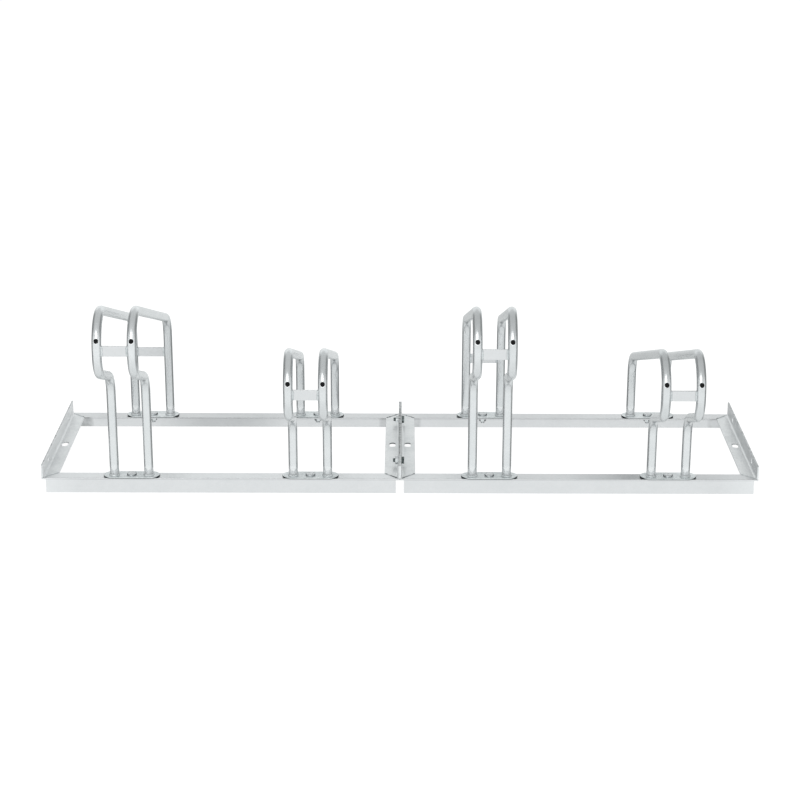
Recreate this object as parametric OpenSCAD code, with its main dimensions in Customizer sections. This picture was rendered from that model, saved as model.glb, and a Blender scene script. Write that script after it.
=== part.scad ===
// Floor bike rack for four bicycles. Two welded two-place frames of steel angle
// are bolted end to end. Each place holds a wheel between two bent tube hoops,
// in turn a high and a low pair, so that handlebars do not meet.
// Units are millimetres. X runs along the rack, the noses of the hoops point to
// the front (-Y), and the floor is at Z = 0.

/* [Frame] */
// Length of one two-place frame
unit_length = 700; // [560:1:900]
// Depth of the frame from the front face to the rear face
frame_depth = 390; // [340:1:460]
// Width of both flanges of the steel angle
flange_width = 30; // [28:0.5:40]
// Thickness of the steel angle
flange_thickness = 3; // [2.5:0.5:4]
// Radius in the root of the steel angle
root_radius = 4; // [2:0.5:5]
// Length by which the standing flange of a rail stops short at each end
rail_end_cut = 8; // [4:0.5:14]

/* [Joining holes and floor slots] */
// Diameter of the joining holes in the end angles
join_hole_d = 9; // [8.5:0.1:10]
// Distance between the two joining holes of an end angle
join_hole_spacing = 245; // [180:1:270]
// Width of the floor slot in each end angle
slot_width = 12.5; // [10:0.5:14]
// Length of the floor slot in each end angle
slot_length = 24; // [18:0.5:40]
// Distance of the floor slot from the outer face of its angle
slot_inset = 15.5; // [14:0.5:18]

/* [Wheel holders] */
// Outer diameter of the hoop tube
tube_d = 18; // [16:0.5:20]
// Wall of the hoop tube
tube_wall = 2; // [1.5:0.1:2.5]
// Distance between the two hoops at the rear legs
rear_spacing = 73; // [68:0.5:80]
// Distance between the two hoops at the noses
nose_spacing = 64.6; // [60:0.1:68]
// Distance of each leg from the nearer face of the frame
leg_inset = 14; // [13:0.5:17]
// Distance of the nose centre line in front of the frame
nose_reach = 148; // [120:1:170]
// Height of the corner point of the front knee, high pair
knee_height = 235; // [220:1:250]
// Height of the corner point below the nose, high pair
nose_foot_height = 292; // [280:1:293]
// Height of the corner point above the nose, high pair
nose_top_height = 417; // [415:1:440]
// Height of the corner point above the rear leg, high pair
rear_top_height = 245; // [225:1:260]
// How much lower the low pair is
low_drop = 82; // [60:1:90]
// Bend radius of the front knee
knee_radius = 48; // [36:1:50]
// Bend radius below the nose
nose_foot_radius = 50; // [36:1:52]
// Bend radius of the nose
nose_radius = 60; // [45:1:61]
// Bend radius above the rear leg
rear_radius = 50; // [36:1:60]

/* [Crossbars] */
// Height of the flat crossbars
bar_height = 20; // [15:1:25]
// Thickness of the flat crossbars
bar_thickness = 4; // [3:0.5:6]
// Height of the middle of the front bar, left high pair
left_high_front_bar_z = 336; // [325:0.5:340]
// Height of the middle of the front bar, right high pair
right_high_front_bar_z = 331.5; // [325:0.5:340]
// Height of the middle of the front bar, both low pairs
low_front_bar_z = 252; // [244:0.5:257]
// Height of the middle of the rear bar, left high pair
left_high_rear_bar_z = 171; // [100:0.5:180]
// Height of the middle of the rear bar, right high pair
right_high_rear_bar_z = 158; // [100:0.5:180]

/* [Foot plates] */
// Length of a foot plate
plate_length = 110; // [106:1:130]
// Width of a foot plate
plate_width = 36; // [34:0.5:40]
// Thickness of a foot plate
plate_thickness = 3; // [3:0.5:6]

/* [Fasteners] */
// Diameter of the bolts
bolt_d = 8; // [7:0.5:8]
// Diameter of the bolt holes in the plates and rails
bolt_hole_d = 9; // [8.5:0.1:10]
// Width across the flats of heads and nuts
hex_width = 13; // [12:0.5:13]
// Diameter of the round heads on the foot plates
round_head_d = 19; // [16:0.5:21]
// Height of the round heads on the foot plates
round_head_height = 3.8; // [3:0.1:5]
// Height of a hexagon head
head_height = 5.3; // [4.5:0.1:6]
// Height of a nut
nut_height = 6.5; // [5:0.1:7]
// Outer diameter of a washer
washer_d = 16; // [15:0.5:20]
// Thickness of a washer
washer_thickness = 1.6; // [1:0.1:2]
// Length of bolt that shows beyond a nut
bolt_end = 4.5; // [2:0.5:7]

/* [Nose plugs] */
// Diameter of the hole and of the plug in each nose
plug_d = 8; // [6:0.5:9]
// Angle of the plug above level, seen from the centre of the nose bend
plug_angle = 19; // [5:1:40]
// How far the dome of the plug stands out of the tube
plug_dome = 0.7; // [0.4:0.1:1.5]

/* [Hidden] */
$fn = 64;
hex_sides = 6;
clear = 1;                     // extra length of a cut past each face
chamfer = 0.9;                 // bevel on hexagon corners
round_rim = 0.8;               // upright edge of a round head
half = 2;                      // divisor for halves
swell = 0.1;                   // how much thicker the tube is in a bend, each face
lap = 0.8;                     // how far a straight run reaches into a bend

tube_r = tube_d / half;
bore_r = tube_r - tube_wall;
rear_y = frame_depth - leg_inset;
front_y = leg_inset;
flange_under = flange_width - flange_thickness;
plate_top = flange_width + plate_thickness;
place = unit_length / half;    // pitch of the places
first_place = place / half;

// the two hoops of a pair lean towards each other at the front
lean = atan((rear_spacing - nose_spacing) / half / (rear_y + nose_reach));
leg_run = (rear_y - front_y) / cos(lean);
nose_run = (rear_y + nose_reach) / cos(lean);

// corner points of a hoop: first the distance before the rear leg, then height
function hoop_points(drop) = [
    [0, plate_top],
    [0, rear_top_height - drop],
    [-nose_run, nose_top_height - drop],
    [-nose_run, nose_foot_height - drop],
    [-leg_run, knee_height - drop],
    [-leg_run, plate_top]];
bend_radii = [0, rear_radius, nose_radius, nose_foot_radius, knee_radius, 0];

// the model is centred front to back on its real extent
y_front = -nose_reach - tube_r - swell;
y_rear = rear_y + plate_width / half;
y_mid = (y_front + y_rear) / half;

steel = [0.78, 0.80, 0.81];
tube_steel = [0.74, 0.77, 0.78];
zinc = [0.66, 0.68, 0.70];
black = [0.03, 0.03, 0.03];

// Plane geometry of a bent tube
function unit(v) = v / norm(v);
function turn(a, b, c) =
    let (p = unit(b - a), q = unit(c - b))
    atan2(p[0] * q[1] - p[1] * q[0], p * q);
function tangent(pts, i) =
    (i == 0 || i == len(pts) - 1) ? 0
    : bend_radii[i] * tan(abs(turn(pts[i - 1], pts[i], pts[i + 1])) / half);

module ring(r, hole) {
    difference() {
        circle(r = r);
        if (hole > 0) circle(r = hole);
    }
}

// straight runs and elbows along corner points, in the XY plane
module bent_tube(pts, r, hole) {
    for (i = [0 : len(pts) - 2]) {
        dir = unit(pts[i + 1] - pts[i]);
        back = i == 0 ? 0 : lap;
        ahead = i == len(pts) - 2 ? 0 : lap;
        from = pts[i] + dir * (tangent(pts, i) - back);
        run = norm(pts[i + 1] - pts[i]) - tangent(pts, i) - tangent(pts, i + 1)
            + back + ahead;
        translate([from[0], from[1], 0])
            rotate([0, 0, atan2(dir[1], dir[0])])
                rotate([0, 90, 0])
                    linear_extrude(run) rotate(90) ring(r, hole);
    }
    for (i = [1 : len(pts) - 2]) {
        way = turn(pts[i - 1], pts[i], pts[i + 1]);
        side = sign(way);
        dir = unit(pts[i] - pts[i - 1]);
        start = pts[i] - dir * tangent(pts, i);
        mid = start + side * bend_radii[i] * [-dir[1], dir[0]];
        first = atan2(start[1] - mid[1], start[0] - mid[0]);
        translate([mid[0], mid[1], 0])
            rotate([0, 0, side > 0 ? first : first + way])
                rotate_extrude(angle = abs(way))
                    translate([bend_radii[i], 0]) ring(r + swell, hole - swell);
    }
}

// centre of the nose bend: distance before the rear leg, height
function nose_centre(drop) =
    let (p = hoop_points(drop))
    [-nose_run + nose_radius, p[2][1] - tangent(p, 2)];

module plug_hole(drop, r) {
    c = nose_centre(drop);
    translate([c[0], c[1], 0]) rotate([0, 0, -plug_angle]) rotate([0, -90, 0])
        translate([0, 0, nose_radius]) cylinder(r = r, h = tube_d);
}

module hoop(drop) {
    rotate([90, 0, 90]) difference() {
        bent_tube(hoop_points(drop), tube_r, bore_r);
        plug_hole(drop, plug_d / half);
    }
}

// puts a hoop, or what belongs to it, on its place; side -1 is the left one
module on_hoop(x, side) {
    translate([x + side * rear_spacing / half, rear_y - y_mid, 0])
        rotate([0, 0, -side * lean]) children();
}

// Shared forms
module obround(length, width) {
    square([length - width, width], center = true);
    for (s = [-1, 1]) translate([s * (length - width) / half, 0]) circle(d = width);
}

module root_fillet() {
    difference() {
        square(root_radius);
        translate([root_radius, root_radius]) circle(r = root_radius);
    }
}

// lying flange with both ends mitred: long edge on X, from 0 to length
module mitred_flange(length, thickness) {
    linear_extrude(thickness)
        polygon([[0, 0], [length, 0], [length - flange_width, flange_width],
                 [flange_width, flange_width]]);
}

// front rail: standing flange in front, lying flange on top, mitred to the ends
module rail() {
    difference() {
        union() {
            translate([0, 0, flange_under]) mitred_flange(unit_length, flange_thickness);
            translate([rail_end_cut, 0, 0])
                cube([unit_length - half * rail_end_cut, flange_thickness, flange_under]);
            translate([rail_end_cut, flange_thickness, flange_under])
                rotate([90, 0, 90])
                    linear_extrude(unit_length - half * rail_end_cut)
                        intersection() {
                            mirror([0, 1]) root_fillet();
                            translate([0, -root_radius]) square(root_radius);
                        }
        }
        for (x = [first_place, first_place + place])
            translate([x, front_y, flange_under - clear])
                cylinder(d = bolt_hole_d, h = flange_thickness + half * clear);
    }
}

module front_rail(x) { translate([x, -y_mid, 0]) rail(); }
module rear_rail(x) { translate([x, frame_depth - y_mid, 0]) mirror([0, 1, 0]) rail(); }

// end angle of a frame, outer face on X = 0, lying flange towards +X
module end_angle() {
    difference() {
        union() {
            translate([0, frame_depth, flange_under])
                rotate([0, 0, -90]) mitred_flange(frame_depth, flange_thickness);
            translate([0, 0, flange_width])
                cube([flange_thickness, frame_depth, flange_under]);
            intersection() {
                translate([flange_thickness, frame_depth, flange_width])
                    rotate([90, 0, 0]) linear_extrude(frame_depth) root_fillet();
                translate([0, frame_depth, flange_under])
                    rotate([0, 0, -90]) mitred_flange(frame_depth, flange_width);
            }
        }
        translate([slot_inset, frame_depth / half, flange_under - clear])
            linear_extrude(flange_thickness + half * clear)
                rotate(90) obround(slot_length, slot_width);
        for (s = [-1, 1])
            translate([-clear, frame_depth / half + s * join_hole_spacing / half,
                       flange_under + flange_width / half])
                rotate([0, 90, 0])
                    cylinder(d = join_hole_d, h = flange_thickness + half * clear);
    }
}

// side 1 has its lying flange towards +X, side -1 towards -X
module angle_at(x, side) {
    translate([x, -y_mid, 0])
        if (side > 0) end_angle(); else mirror([1, 0, 0]) end_angle();
}

module foot_plate(x, y) {
    translate([x, y - y_mid, flange_width])
        linear_extrude(plate_thickness) difference() {
            obround(plate_length, plate_width);
            circle(d = bolt_hole_d);
        }
}

module crossbar(x, y, spacing, z) {
    length = spacing - tube_d;
    translate([x - length / half, y - y_mid - bar_thickness / half, z - bar_height / half])
        cube([length, bar_thickness, bar_height]);
}

// hexagon with bevelled corners, on the XY plane, beveled on the upper face
module hexagon(height) {
    corner = hex_width / half / cos(180 / hex_sides);
    intersection() {
        cylinder(r = corner, h = height, $fn = hex_sides);
        rotate_extrude() polygon([[0, 0], [corner, 0], [corner, height - chamfer / half],
            [corner - chamfer, height], [0, height]]);
    }
}

module bolt(grip) {
    hexagon(head_height);
    translate([0, 0, -grip]) cylinder(d = bolt_d, h = grip);
}

// bolt with a low domed head: a slice of a ball on a thin rim
module round_bolt(grip) {
    dome = round_head_height - round_rim;
    edge = round_head_d / half;
    ball = (edge * edge + dome * dome) / (half * dome);
    intersection() {
        cylinder(r = edge, h = round_head_height);
        translate([0, 0, round_head_height - ball]) sphere(r = ball, $fn = 96);
    }
    translate([0, 0, -grip]) cylinder(d = bolt_d, h = grip);
}

module nut() {
    difference() {
        mirror([0, 0, 1]) hexagon(nut_height);
        translate([0, 0, -nut_height - clear])
            cylinder(d = bolt_d, h = nut_height + half * clear);
    }
}

place_xs = [for (i = [0 : 3]) -unit_length + first_place + i * place];

module each_foot() {
    for (x = place_xs, y = [front_y, rear_y]) translate([x, y - y_mid, 0]) children();
}

module each_join() {
    for (s = [-1, 1])
        translate([0, frame_depth / half + s * join_hole_spacing / half - y_mid,
                   flange_under + flange_width / half])
            rotate([0, 90, 0]) rotate([0, 0, 30]) children();
}

module plug(drop) {
    rotate([90, 0, 90]) {
        c = nose_centre(drop);
        r = plug_d / half;
        ball = (r * r + plug_dome * plug_dome) / (half * plug_dome);
        translate([c[0], c[1], 0]) rotate([0, 0, -plug_angle]) rotate([0, -90, 0])
            translate([0, 0, nose_radius + bore_r]) intersection() {
                cylinder(r = r, h = tube_wall + plug_dome + clear);
                translate([0, 0, tube_wall + plug_dome - ball]) sphere(r = ball, $fn = 96);
            }
    }
}

// One module for each piece
module left_front_rail() { color(steel) front_rail(-unit_length); }
module left_rear_rail() { color(steel) rear_rail(-unit_length); }
module right_front_rail() { color(steel) front_rail(0); }
module right_rear_rail() { color(steel) rear_rail(0); }

module left_outer_angle() { color(steel) angle_at(-unit_length, 1); }
module left_inner_angle() { color(steel) angle_at(0, -1); }
module right_inner_angle() { color(steel) angle_at(0, 1); }
module right_outer_angle() { color(steel) angle_at(unit_length, -1); }

module left_high_left_hoop() { color(tube_steel) on_hoop(place_xs[0], -1) hoop(0); }
module left_high_right_hoop() { color(tube_steel) on_hoop(place_xs[0], 1) hoop(0); }
module left_low_left_hoop() { color(tube_steel) on_hoop(place_xs[1], -1) hoop(low_drop); }
module left_low_right_hoop() { color(tube_steel) on_hoop(place_xs[1], 1) hoop(low_drop); }
module right_high_left_hoop() { color(tube_steel) on_hoop(place_xs[2], -1) hoop(0); }
module right_high_right_hoop() { color(tube_steel) on_hoop(place_xs[2], 1) hoop(0); }
module right_low_left_hoop() { color(tube_steel) on_hoop(place_xs[3], -1) hoop(low_drop); }
module right_low_right_hoop() { color(tube_steel) on_hoop(place_xs[3], 1) hoop(low_drop); }

module left_high_front_plate() { color(steel) foot_plate(place_xs[0], front_y); }
module left_high_rear_plate() { color(steel) foot_plate(place_xs[0], rear_y); }
module left_low_front_plate() { color(steel) foot_plate(place_xs[1], front_y); }
module left_low_rear_plate() { color(steel) foot_plate(place_xs[1], rear_y); }
module right_high_front_plate() { color(steel) foot_plate(place_xs[2], front_y); }
module right_high_rear_plate() { color(steel) foot_plate(place_xs[2], rear_y); }
module right_low_front_plate() { color(steel) foot_plate(place_xs[3], front_y); }
module right_low_rear_plate() { color(steel) foot_plate(place_xs[3], rear_y); }

module front_bar(x, z) { color(steel) crossbar(x, -nose_reach, nose_spacing, z); }
module rear_bar(x, z) { color(steel) crossbar(x, rear_y, rear_spacing, z); }
module left_high_front_bar() { front_bar(place_xs[0], left_high_front_bar_z); }
module left_low_front_bar() { front_bar(place_xs[1], low_front_bar_z); }
module right_high_front_bar() { front_bar(place_xs[2], right_high_front_bar_z); }
module right_low_front_bar() { front_bar(place_xs[3], low_front_bar_z); }
module left_high_rear_bar() { rear_bar(place_xs[0], left_high_rear_bar_z); }
module right_high_rear_bar() { rear_bar(place_xs[2], right_high_rear_bar_z); }

module foot_bolts() {
    grip = plate_thickness + flange_thickness + washer_thickness + nut_height + bolt_end;
    color(zinc) each_foot() translate([0, 0, plate_top]) round_bolt(grip);
}
module foot_washers() {
    color(zinc) each_foot() translate([0, 0, flange_under - washer_thickness])
        linear_extrude(washer_thickness) ring(washer_d / half, bolt_d / half);
}
module foot_nuts() {
    color(zinc) each_foot() translate([0, 0, flange_under - washer_thickness]) nut();
}
module joining_bolts() {
    grip = half * flange_thickness + nut_height + bolt_end;
    color(zinc) each_join() translate([0, 0, flange_thickness]) bolt(grip);
}
module joining_nuts() {
    color(zinc) each_join() translate([0, 0, -flange_thickness]) nut();
}
module nose_plugs() {
    color(black) for (i = [0 : 3], side = [-1, 1])
        on_hoop(place_xs[i], side) plug(i % half * low_drop);
}

left_front_rail();
left_rear_rail();
right_front_rail();
right_rear_rail();
left_outer_angle();
left_inner_angle();
right_inner_angle();
right_outer_angle();
left_high_left_hoop();
left_high_right_hoop();
left_low_left_hoop();
left_low_right_hoop();
right_high_left_hoop();
right_high_right_hoop();
right_low_left_hoop();
right_low_right_hoop();
left_high_front_plate();
left_high_rear_plate();
left_low_front_plate();
left_low_rear_plate();
right_high_front_plate();
right_high_rear_plate();
right_low_front_plate();
right_low_rear_plate();
left_high_front_bar();
left_low_front_bar();
right_high_front_bar();
right_low_front_bar();
left_high_rear_bar();
right_high_rear_bar();
foot_bolts();
foot_washers();
foot_nuts();
joining_bolts();
joining_nuts();
nose_plugs();
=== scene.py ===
"""Floor bike rack: galvanised steel angle frames, bent tube hoops on bolted foot plates.

The solids of the frame keep their place and shape. This scene gives them their zinc finish and
soft edges, and adds what the solids leave out: weld beads, smooth bends, threads, rounder heads.
Lengths are metres, in the frame of the solids: X along the rack, noses towards -Y, floor at Z = 0.
"""
import math

import bpy
import numpy as np
from mathutils import Matrix


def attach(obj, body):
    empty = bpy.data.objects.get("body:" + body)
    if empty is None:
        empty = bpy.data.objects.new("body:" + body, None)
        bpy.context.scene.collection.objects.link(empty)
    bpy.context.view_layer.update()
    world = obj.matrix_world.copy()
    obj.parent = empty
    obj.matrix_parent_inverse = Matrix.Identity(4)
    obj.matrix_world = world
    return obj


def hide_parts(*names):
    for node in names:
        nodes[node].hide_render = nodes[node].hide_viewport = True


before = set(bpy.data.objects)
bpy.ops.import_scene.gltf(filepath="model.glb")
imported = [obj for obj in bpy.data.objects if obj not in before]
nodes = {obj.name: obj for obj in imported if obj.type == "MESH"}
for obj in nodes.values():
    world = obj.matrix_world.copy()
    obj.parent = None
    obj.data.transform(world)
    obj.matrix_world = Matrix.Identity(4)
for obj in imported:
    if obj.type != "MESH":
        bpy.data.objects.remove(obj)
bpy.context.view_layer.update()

# Sizes of the two frames, the same as those of their solids
UNIT = 0.700
DEPTH = 0.390
FLANGE = 0.030
STEEL = 0.003
JOIN_SPACING = 0.245
PLATE_WIDTH = 0.036
PLATE_STEEL = 0.003
BAR_HEIGHT = 0.020
BAR_STEEL = 0.004

# Middle of a frame along X, and heights of its angles, joining holes and foot plates
MIDDLE = UNIT / 2
ANGLE_UNDER = FLANGE - STEEL
ANGLE_TOP = ANGLE_UNDER + FLANGE
JOIN_HEIGHT = ANGLE_UNDER + FLANGE / 2
PLATE_TOP = FLANGE + PLATE_STEEL

# Sizes of the hoops: heights are those of a high hoop's corner points, bends are rear to knee
TUBE_R = 0.009
TUBE_WALL = 0.002
BEND_SWELL = 0.0001
REAR_SPACING = 0.073
NOSE_SPACING = 0.0646
LEG_INSET = 0.014
NOSE_REACH = 0.148
REAR_TOP = 0.245
NOSE_TOP = 0.417
NOSE_FOOT = 0.292
KNEE = 0.235
LOW_DROP = 0.082
NOSE_BEND = 0.060
BENDS = (0.050, NOSE_BEND, 0.050, 0.048)
PLUG_ANGLE = math.radians(19)
PLUG_R = 0.004
REAR_Y = DEPTH - LEG_INSET
Y_MID = (REAR_Y + PLATE_WIDTH / 2 - NOSE_REACH - TUBE_R - BEND_SWELL) / 2
LEAN = math.atan((REAR_SPACING - NOSE_SPACING) / 2 / (REAR_Y + NOSE_REACH))
LEG_RUN = (REAR_Y - LEG_INSET) / math.cos(LEAN)
NOSE_RUN = (REAR_Y + NOSE_REACH) / math.cos(LEAN)

# Wheel holders: place along X, how much lower it is, height of its front bar and of its rear bar
HOLDERS = {
    "left_high": (-0.75 * UNIT, 0.0, 0.336, 0.171),
    "left_low": (-0.25 * UNIT, LOW_DROP, 0.252, None),
    "right_high": (0.25 * UNIT, 0.0, 0.3315, 0.158),
    "right_low": (0.75 * UNIT, LOW_DROP, 0.252, None),
}

# Sizes of the fasteners
BOLT_R = 0.004
THREAD_PITCH = 0.00125
HEX_WIDTH = 0.013
HEX_BEVEL = math.radians(30)
HEAD_HEIGHT = 0.0053
NUT_HEIGHT = 0.0065
WASHER_STEEL = 0.0016
BOLT_END = 0.0045
ROUND_HEAD_R = 0.0095
ROUND_HEAD_HEIGHT = 0.0038
ROUND_RIM = 0.0008
FOOT_GRIP = PLATE_STEEL + STEEL + WASHER_STEEL + NUT_HEIGHT + BOLT_END
JOIN_GRIP = 2 * STEEL + NUT_HEIGHT + BOLT_END

# Widths of the softened edges, and the distance under which points are one
STEEL_EDGE = 0.0008
BAR_EDGE = 0.0006
WASHER_EDGE = 0.00025
SAME_POINT = 0.00001

FULL_TURN = 2 * math.pi


# Camera at the photograph's place

def place_camera():
    """Camera whose focal length is given in pixels of the picture, turned by pitch, yaw and roll."""
    picture_px, focal_px, sensor_mm = 800, 2047.8937, 36.0
    place = (0.00681440, -3.73731706 - Y_MID, 1.46175151)
    pitch, yaw, roll = 0.327368605, -0.00182604118, -0.00196749678
    forward = np.array([math.sin(yaw) * math.cos(pitch), math.cos(yaw) * math.cos(pitch),
                        -math.sin(pitch)])
    right = np.array([math.cos(yaw), -math.sin(yaw), 0.0])
    down = np.cross(forward, right)
    side = math.cos(roll) * right + math.sin(roll) * down
    drop = -math.sin(roll) * right + math.cos(roll) * down
    data = bpy.data.cameras.new("photo_camera")
    data.sensor_fit = "HORIZONTAL"
    data.sensor_width = sensor_mm
    data.lens = focal_px * sensor_mm / picture_px
    data.clip_end = 60.0
    camera = bpy.data.objects.new("photo_camera", data)
    bpy.context.scene.collection.objects.link(camera)
    turn = Matrix((side, -drop, -forward)).transposed().to_4x4()
    camera.matrix_world = Matrix.Translation(place) @ turn
    bpy.context.scene.camera = camera


# Shader helpers

class Wires:
    """Adds nodes to a tree and joins them, so that a material reads from top to bottom."""

    def __init__(self, tree):
        self.tree = tree

    def node(self, kind, inputs=None, **settings):
        """A node with its settings; each input is a socket to join or a value to set."""
        made = self.tree.nodes.new(kind)
        for name, value in settings.items():
            setattr(made, name, value)
        for name, value in (inputs or {}).items():
            if isinstance(value, bpy.types.NodeSocket):
                self.tree.links.new(value, made.inputs[name])
            else:
                made.inputs[name].default_value = value
        return made

    def math(self, operation, a, b=0.0, clamp=False):
        """One sum, product or other operation on two values."""
        return self.node("ShaderNodeMath", {0: a, 1: b}, operation=operation,
                         use_clamp=clamp).outputs[0]

    def ramp(self, value, stops):
        """A colour ramp of greys or colours at the stops given."""
        made = self.node("ShaderNodeValToRGB", {"Fac": value})
        ramp = made.color_ramp
        while len(ramp.elements) < len(stops):
            ramp.elements.new(0.5)
        for element, (place, colour) in zip(ramp.elements, stops):
            element.position = place
            element.color = (*colour, 1) if isinstance(colour, tuple) else (colour,) * 3 + (1,)
        return made.outputs["Color"]

    def mix(self, share, a, b, blend="MIX"):
        """Colour a blended towards colour b by a share."""
        made = self.node("ShaderNodeMix", data_type="RGBA", blend_type=blend)
        for socket, value in zip((made.inputs[0], made.inputs[6], made.inputs[7]), (share, a, b)):
            if isinstance(value, bpy.types.NodeSocket):
                self.tree.links.new(value, socket)
            else:
                socket.default_value = value
        return made.outputs[2]


def space(w):
    """Object place and face normal, each as X, Y and Z."""
    place = w.node("ShaderNodeTexCoord")
    return [w.node("ShaderNodeSeparateXYZ", {0: place.outputs[name]}).outputs
            for name in ("Object", "Normal")]


def above(w, value, level, sharp):
    """Mask that rises from 0 at the level to 1 over 1 / sharp."""
    return w.math("MULTIPLY", w.math("SUBTRACT", value, level), sharp, clamp=True)


def below(w, value, level, sharp):
    """Mask that rises from 0 at the level to 1 as the value falls."""
    return w.math("MULTIPLY", w.math("SUBTRACT", level, value), sharp, clamp=True)


def product(w, result, *factors):
    """Values multiplied, such as masks that all have to hold and the share that they get."""
    for factor in factors:
        result = w.math("MULTIPLY", result, factor)
    return result


def total(w, result, *values):
    """Values added up."""
    for value in values:
        result = w.math("ADD", result, value)
    return result


def largest(w, result, *masks):
    """The largest of several masks."""
    for mask in masks:
        result = w.math("MAXIMUM", result, mask)
    return result


def size_of(w, value):
    """A value without its sign."""
    return w.math("ABSOLUTE", value)


def ragged(w, scale, level, sharp):
    """Uneven patches of noise above a level."""
    place = w.node("ShaderNodeTexCoord").outputs["Object"]
    noise = w.node("ShaderNodeTexNoise", {"Vector": place, "Scale": scale, "Detail": 3.0}).outputs[0]
    return above(w, noise, level, sharp)


def new_material(name):
    """An empty node material and the wires of its tree."""
    made = bpy.data.materials.new(name)
    made.use_nodes = True
    made.node_tree.nodes.clear()
    return made, Wires(made.node_tree)


def new_group(name, inputs, outputs):
    """The wires of an empty node group, and the sockets of what it is given and of its result."""
    group = bpy.data.node_groups.new(name, "ShaderNodeTree")
    for label, kind, value in inputs:
        socket = group.interface.new_socket(label, in_out="INPUT", socket_type=kind)
        socket.default_value = value
    for label, kind in outputs:
        group.interface.new_socket(label, in_out="OUTPUT", socket_type=kind)
    wires = Wires(group)
    return wires, wires.node("NodeGroupInput").outputs, wires.node("NodeGroupOutput").inputs


def zinc_skin_group():
    """Dipped zinc: crystal patches, cloudy bloom, specks and fine grain, as colour, roughness and
    height. The duller a spot is, the nearer it comes to the dark tone and the dull roughness."""
    w, given, result = new_group(
        "zinc_skin",
        [("Light Tone", "NodeSocketColor", (0.8, 0.82, 0.83, 1)),
         ("Dark Tone", "NodeSocketColor", (0.55, 0.6, 0.6, 1)),
         ("Crystal Size", "NodeSocketFloat", 160.0),
         ("Crystal Share", "NodeSocketFloat", 0.3),
         ("Bloom Share", "NodeSocketFloat", 0.3),
         ("Speck Share", "NodeSocketFloat", 0.3),
         ("Smooth Roughness", "NodeSocketFloat", 0.3),
         ("Dull Roughness", "NodeSocketFloat", 0.5)],
        [("Color", "NodeSocketColor"), ("Roughness", "NodeSocketFloat"),
         ("Height", "NodeSocketFloat")])
    place = w.node("ShaderNodeTexCoord").outputs["Object"]
    bend = w.node("ShaderNodeTexNoise", {"Vector": place, "Scale": 90.0, "Detail": 2.0})
    bent = w.node("ShaderNodeVectorMath", {0: bend.outputs["Color"], 1: (0.006, 0.006, 0.006)},
                  operation="MULTIPLY").outputs[0]
    warped = w.node("ShaderNodeVectorMath", {0: place, 1: bent}, operation="ADD").outputs[0]
    crystal = w.node("ShaderNodeTexVoronoi", {"Vector": warped, "Scale": given["Crystal Size"]})
    patch = w.node("ShaderNodeSeparateColor", {0: crystal.outputs["Color"]}).outputs[0]
    bloom = w.node("ShaderNodeTexNoise", {"Vector": place, "Scale": 14.0, "Detail": 5.0,
                                          "Roughness": 0.62}).outputs["Fac"]
    bloom = above(w, bloom, 0.42, 4.0)
    speck = w.node("ShaderNodeTexNoise", {"Vector": place, "Scale": 420.0, "Detail": 3.0,
                                          "Roughness": 0.6}).outputs["Fac"]
    speck = above(w, speck, 0.47, 5.0)
    grain = w.node("ShaderNodeTexNoise", {"Vector": place, "Scale": 1500.0,
                                          "Detail": 2.0}).outputs["Fac"]
    dull = total(w, product(w, patch, given["Crystal Share"]),
                 product(w, bloom, given["Bloom Share"]))
    dull = w.math("ADD", dull, product(w, speck, given["Speck Share"]), clamp=True)
    span = w.math("SUBTRACT", given["Dull Roughness"], given["Smooth Roughness"])
    found = {
        "Color": w.mix(dull, given["Light Tone"], given["Dark Tone"]),
        "Roughness": total(w, product(w, dull, span), given["Smooth Roughness"]),
        "Height": total(w, product(w, patch, 0.3), product(w, speck, 0.5), product(w, grain, 0.25)),
    }
    for label, value in found.items():
        w.tree.links.new(value, result[label])
    return w.tree


# Places on the rack, as masks

def front_half(w, place):
    """Everything in front of the middle of the rack."""
    return below(w, place[1], 0.0, 100.0)


def rear_half(w, place):
    """Everything more than 100 mm behind the middle of the rack."""
    return above(w, place[1], 0.1, 100.0)


def left_frame(w, place):
    """The left frame, rising over 100 mm from the joint in the middle."""
    return below(w, place[0], 0.0, 10.0)


def left_end(w, place):
    """The left end of the rack, with the left high pair."""
    return below(w, place[0], -0.40, 50.0)


def right_frame(w, place):
    """The hoops of the right frame."""
    return above(w, place[0], 0.05, 20.0)


def centre_joint(w, place):
    """The two inner angles, where the frames meet."""
    return below(w, size_of(w, place[0]), 0.05, 100.0)


def from_middle(w, place):
    """Distance along X from the middle of the frame."""
    return size_of(w, w.math("SUBTRACT", size_of(w, place[0]), MIDDLE))


def facing_up(w, normal):
    """Faces that look up."""
    return above(w, normal[2], 0.7, 5.0)


# Stains, painted shade and painted light on the zinc, as masks

def plate_wall_shade(w):
    """Painted shade on the sheared wall of a foot plate: at the round ends, where the wall turns along
    X, and along the seam under it, where the plate sits on the rail."""
    place, normal = space(w)
    wall = below(w, size_of(w, normal[2]), 0.95, 5.0)
    end = above(w, size_of(w, normal[0]), 0.28, 2.6)
    seam = below(w, place[2], FLANGE + 0.00155, 2600.0)
    return product(w, wall, w.math("ADD", product(w, end, 0.92), seam, clamp=True))


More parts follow.
